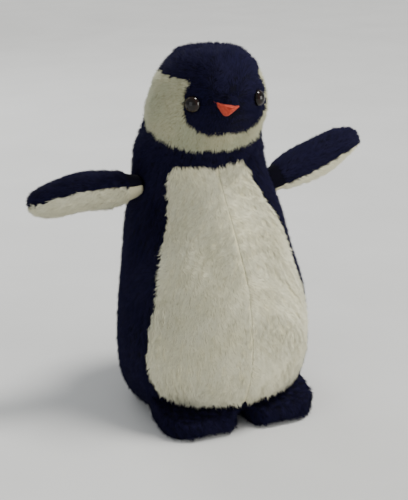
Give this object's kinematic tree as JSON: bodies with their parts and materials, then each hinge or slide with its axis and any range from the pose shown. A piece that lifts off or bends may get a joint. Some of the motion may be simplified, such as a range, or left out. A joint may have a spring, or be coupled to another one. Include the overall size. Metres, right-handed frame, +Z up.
{
  "type": "plush penguin",
  "caption": "Standing stuffed toy penguin with a black back and mask, white tummy, cream cheeks, swinging flippers, hinged feet and a soft neck that turns and nods.",
  "frame": {"origin": "on the floor, at the centre of the base panel it stands on", "axes": "+Z up through the body, the penguin faces -Y, its left side is +X"},
  "size_m": [0.2808, 0.1867, 0.294],
  "materials": {
    "black_plush": "short dense pile, matt",
    "white_plush": "short dense pile, matt",
    "cream_plush": "short dense pile, matt",
    "coral_felt": "felt",
    "eye_plastic": "polished",
    "washer_plastic": "moulded",
    "fibre_stuffing": "loose polyester fibre",
    "pouch_cloth": "woven",
    "pellets": "moulded beads"
  },
  "bodies": {
    "torso": {"back_panel_left": "black_plush", "back_panel_right": "black_plush", "tummy_panel_left": "white_plush", "tummy_panel_right": "white_plush", "base_panel": "black_plush", "torso_stuffing": "fibre_stuffing", "pellet_pouch": "pouch_cloth", "pellet_fill": "pellets", "tail_top_panel": "black_plush", "tail_under_panel": "black_plush", "tail_stuffing": "fibre_stuffing"},
    "neck": {"neck_band": "black_plush", "neck_stuffing": "fibre_stuffing"},
    "head": {"crown_gusset": "black_plush", "face_panel_left": "black_plush", "face_panel_right": "black_plush", "cheek_panel_left": "cream_plush", "cheek_panel_right": "cream_plush", "nape_panel_left": "black_plush", "nape_panel_right": "black_plush", "head_stuffing": "fibre_stuffing", "eye_left": "eye_plastic", "eye_right": "eye_plastic", "eye_washer_left": "washer_plastic", "eye_washer_right": "washer_plastic", "beak_upper": "black_plush", "beak_lower": "coral_felt"},
    "flipper_left": {"flipper_upper_left": "black_plush", "flipper_under_left": "white_plush", "flipper_stuffing_left": "fibre_stuffing"},
    "foot_left": {"foot_top_left": "black_plush", "foot_sole_left": "black_plush", "foot_stuffing_left": "fibre_stuffing"},
    "flipper_right": {"flipper_upper_right": "black_plush", "flipper_under_right": "white_plush", "flipper_stuffing_right": "fibre_stuffing"},
    "foot_right": {"foot_top_right": "black_plush", "foot_sole_right": "black_plush", "foot_stuffing_right": "fibre_stuffing"}
  },
  "joints": [
    {"name": "neck_turn", "type": "hinge", "parent": "torso", "child": "neck", "pos_m": [0, 0.01134, 0.16986], "axis": [0, 0, 1], "range_deg": [-30, 30], "stiffness_Nm_per_rad": 0.2},
    {"name": "neck_nod", "type": "hinge", "parent": "neck", "child": "head", "pos_m": [0, 0.01134, 0.16986], "axis": [1, 0, 0], "range_deg": [-15, 20], "stiffness_Nm_per_rad": 0.3},
    {"name": "flipper_left_swing", "type": "hinge", "parent": "torso", "child": "flipper_left", "pos_m": [0.06301, 0.005, 0.17486], "axis": [-0.1107, -0.9511, 0.2885], "range_deg": [-60, 30], "stiffness_Nm_per_rad": 0.06},
    {"name": "flipper_right_swing", "type": "hinge", "parent": "torso", "child": "flipper_right", "pos_m": [-0.06119, 0.005, 0.18286], "axis": [0.0162, 0.9511, -0.3086], "range_deg": [-40, 50], "stiffness_Nm_per_rad": 0.06},
    {"name": "foot_left_drop", "type": "hinge", "parent": "torso", "child": "foot_left", "pos_m": [0.0345, -0.04091, 0.0115], "axis": [1, 0, 0], "range_deg": [0, 25], "stiffness_Nm_per_rad": 0.08},
    {"name": "foot_right_drop", "type": "hinge", "parent": "torso", "child": "foot_right", "pos_m": [-0.0345, -0.04091, 0.0115], "axis": [1, 0, 0], "range_deg": [0, 25], "stiffness_Nm_per_rad": 0.08}
  ]
}
